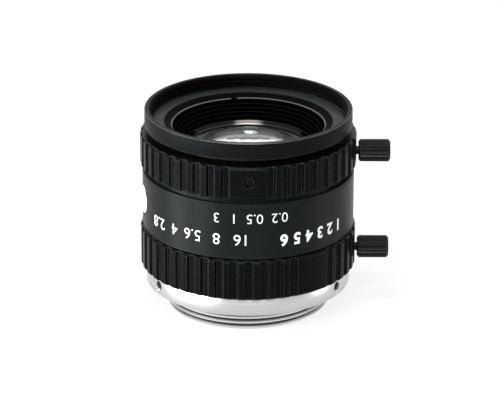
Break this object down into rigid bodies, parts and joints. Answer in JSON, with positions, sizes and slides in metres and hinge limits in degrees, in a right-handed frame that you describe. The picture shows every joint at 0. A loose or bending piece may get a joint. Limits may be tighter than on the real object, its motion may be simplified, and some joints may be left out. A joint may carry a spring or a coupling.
{
  "type": "c-mount machine vision lens",
  "caption": "Fixed focal length machine vision lens with C-mount thread, ribbed focus and iris rings, lock screws and a working iris.",
  "frame": {"origin": "centre of the flange seat of the C-mount thread, in the plane that meets the camera's face", "axes": "+Z along the optical axis towards the front glass; +X towards the two lock screws; the thread points along -Z"},
  "size_m": [0.0387, 0.0335, 0.0319],
  "materials": {
    "black_anodised": "satin black anodised, turned and milled",
    "matt_black": "matt black anodised inside parts",
    "satin_silver": "satin silver, fine turned",
    "black_steel": "black oxide steel",
    "brass": "turned brass",
    "coated_glass": "polished optical glass with an anti-reflection coating"
  },
  "bodies": {
    "root": {"mount_base": "satin_silver", "mount_set_screws": "black_steel", "main_barrel": "black_anodised", "barrel_key_screw": "black_steel", "focus_retaining_ring": "matt_black"},
    "focus_ring": {"focus_ring": "black_anodised", "focus_helicoid": "brass", "focus_grub_screws": "black_steel"},
    "focus_lock": {"focus_lock_screw": "black_steel"},
    "iris_ring": {"iris_ring": "black_anodised", "iris_drive_screw": "black_steel"},
    "iris_lock": {"iris_lock_screw": "black_steel"},
    "optics_block": {"optics_barrel": "matt_black", "front_ring": "black_anodised", "front_retaining_ring": "matt_black", "front_lens": "coated_glass", "second_retaining_ring": "matt_black", "second_lens": "coated_glass", "lens_spacer": "matt_black", "third_lens": "coated_glass", "iris_base_plate": "matt_black", "rear_cell": "matt_black", "fourth_lens": "coated_glass", "fifth_lens": "coated_glass", "rear_spacer": "matt_black", "rear_lens": "coated_glass", "rear_retaining_ring": "matt_black"},
    "iris_cam": {"iris_cam_ring": "matt_black"},
    "iris_blade_1": {"iris_blade_1": "black_steel"},
    "iris_blade_2": {"iris_blade_2": "black_steel"},
    "iris_blade_3": {"iris_blade_3": "black_steel"},
    "iris_blade_4": {"iris_blade_4": "black_steel"},
    "iris_blade_5": {"iris_blade_5": "black_steel"},
    "iris_blade_6": {"iris_blade_6": "black_steel"}
  },
  "joints": [
    {"name": "focus_ring_turn", "type": "hinge", "parent": "root", "child": "focus_ring", "pos_m": [0, 0, 0.022], "axis": [0, 0, 1], "range_deg": [-100, 0]},
    {"name": "focus_travel", "type": "slide", "parent": "root", "child": "optics_block", "axis": [0, 0, 1], "range_m": [0, 0.001]},
    {"name": "focus_lock_turn", "type": "hinge", "parent": "focus_ring", "child": "focus_lock", "pos_m": [0.0195, 0, 0.0212], "axis": [1, 0, 0], "range_deg": [0, 360]},
    {"name": "iris_ring_turn", "type": "hinge", "parent": "root", "child": "iris_ring", "pos_m": [0, 0, 0.006], "axis": [0, 0, 1], "range_deg": [0, 50]},
    {"name": "iris_lock_turn", "type": "hinge", "parent": "iris_ring", "child": "iris_lock", "pos_m": [0.0195, 0, 0.0051], "axis": [1, 0, 0], "range_deg": [0, 360]},
    {"name": "iris_cam_turn", "type": "hinge", "parent": "optics_block", "child": "iris_cam", "pos_m": [0, 0, 0.0085], "axis": [0, 0, 1], "range_deg": [0, 50]},
    {"name": "iris_blade_1_turn", "type": "hinge", "parent": "optics_block", "child": "iris_blade_1", "pos_m": [0.008, 0, 0.0095], "axis": [0, 0, 1], "range_deg": [0, 29]},
    {"name": "iris_blade_2_turn", "type": "hinge", "parent": "optics_block", "child": "iris_blade_2", "pos_m": [0.004, 0.00693, 0.0095], "axis": [0, 0, 1], "range_deg": [0, 29]},
    {"name": "iris_blade_3_turn", "type": "hinge", "parent": "optics_block", "child": "iris_blade_3", "pos_m": [-0.004, 0.00693, 0.0095], "axis": [0, 0, 1], "range_deg": [0, 29]},
    {"name": "iris_blade_4_turn", "type": "hinge", "parent": "optics_block", "child": "iris_blade_4", "pos_m": [-0.008, 0, 0.0095], "axis": [0, 0, 1], "range_deg": [0, 29]},
    {"name": "iris_blade_5_turn", "type": "hinge", "parent": "optics_block", "child": "iris_blade_5", "pos_m": [-0.004, -0.00693, 0.0095], "axis": [0, 0, 1], "range_deg": [0, 29]},
    {"name": "iris_blade_6_turn", "type": "hinge", "parent": "optics_block", "child": "iris_blade_6", "pos_m": [0.004, -0.00693, 0.0095], "axis": [0, 0, 1], "range_deg": [0, 29]}
  ],
  "couplings": [
    {"joint": "focus_ring_turn", "follows": "focus_travel", "rad_per_m": -1745.3},
    {"joint": "iris_cam_turn", "follows": "iris_ring_turn", "ratio": 1},
    {"joint": "iris_blade_1_turn", "follows": "iris_ring_turn", "ratio": 0.58},
    {"joint": "iris_blade_2_turn", "follows": "iris_ring_turn", "ratio": 0.58},
    {"joint": "iris_blade_3_turn", "follows": "iris_ring_turn", "ratio": 0.58},
    {"joint": "iris_blade_4_turn", "follows": "iris_ring_turn", "ratio": 0.58},
    {"joint": "iris_blade_5_turn", "follows": "iris_ring_turn", "ratio": 0.58},
    {"joint": "iris_blade_6_turn", "follows": "iris_ring_turn", "ratio": 0.58}
  ]
}
